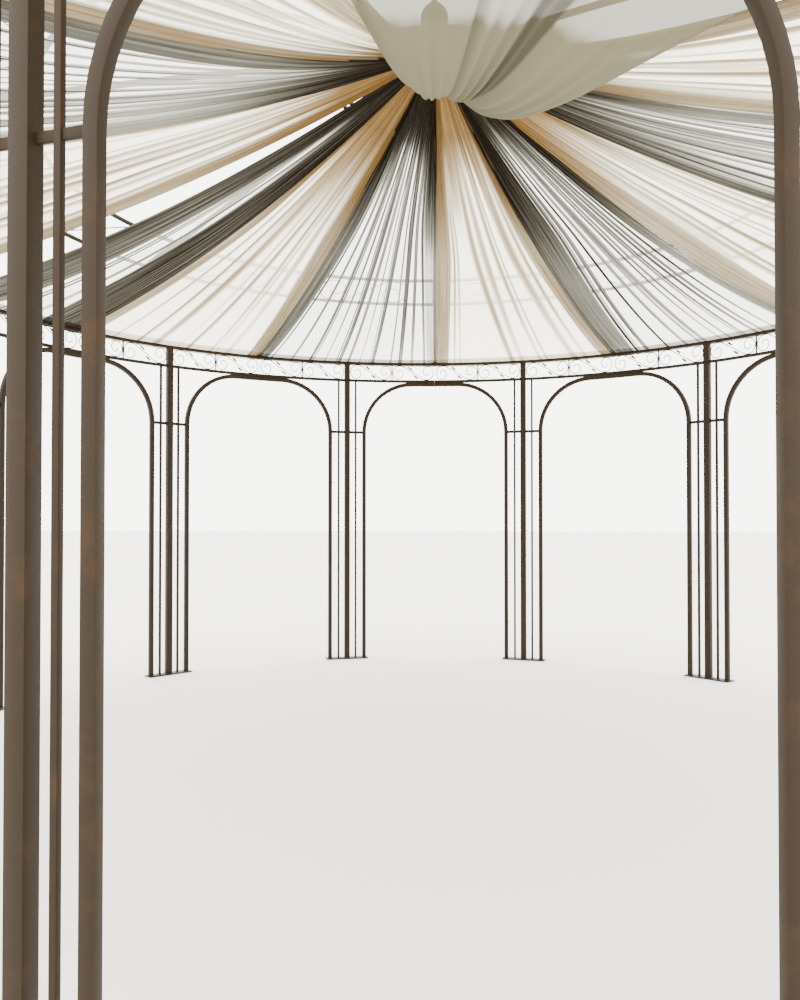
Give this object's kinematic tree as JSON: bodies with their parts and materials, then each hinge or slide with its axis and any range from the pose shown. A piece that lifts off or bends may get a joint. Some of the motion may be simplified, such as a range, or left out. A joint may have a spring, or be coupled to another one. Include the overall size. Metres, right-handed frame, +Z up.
{
  "type": "round wrought-iron wedding canopy with cloth panels",
  "caption": "Round open iron canopy on column frames with arched bays, a scroll frieze and sheer cloth panels under its domed roof.",
  "frame": {"origin": "centre of the base, on the ground", "axes": "+Z up through the finial, -Y towards the front bay, +X to the right seen from the front"},
  "size_m": [5.288, 5.288, 3.58],
  "materials": {
    "iron": "rusty satin paint",
    "grey_cloth": "sheer woven",
    "peach_cloth": "sheer woven",
    "muslin_cloth": "slubby woven"
  },
  "bodies": {
    "root": {"column_01": "iron", "roof_rib_01": "iron", "cloth_peach_01": "peach_cloth", "column_02": "iron", "roof_rib_02": "iron", "cloth_grey_02": "grey_cloth", "column_03": "iron", "roof_rib_03": "iron", "cloth_peach_03": "peach_cloth", "column_04": "iron", "roof_rib_04": "iron", "cloth_grey_04": "grey_cloth", "column_05": "iron", "roof_rib_05": "iron", "cloth_peach_05": "peach_cloth", "column_06": "iron", "roof_rib_06": "iron", "cloth_muslin_06": "muslin_cloth", "column_07": "iron", "roof_rib_07": "iron", "cloth_peach_07": "peach_cloth", "column_08": "iron", "roof_rib_08": "iron", "cloth_grey_08": "grey_cloth", "column_09": "iron", "roof_rib_09": "iron", "cloth_peach_09": "peach_cloth", "column_10": "iron", "roof_rib_10": "iron", "cloth_grey_10": "grey_cloth", "column_11": "iron", "roof_rib_11": "iron", "cloth_peach_11": "peach_cloth", "column_12": "iron", "roof_rib_12": "iron", "cloth_grey_12": "grey_cloth", "eave_frieze_1": "iron", "roof_band_1": "iron", "eave_frieze_2": "iron", "roof_band_2": "iron", "eave_frieze_3": "iron", "roof_band_3": "iron", "eave_frieze_4": "iron", "roof_band_4": "iron", "crown_ring": "iron", "finial": "iron"}
  },
  "joints": []
}
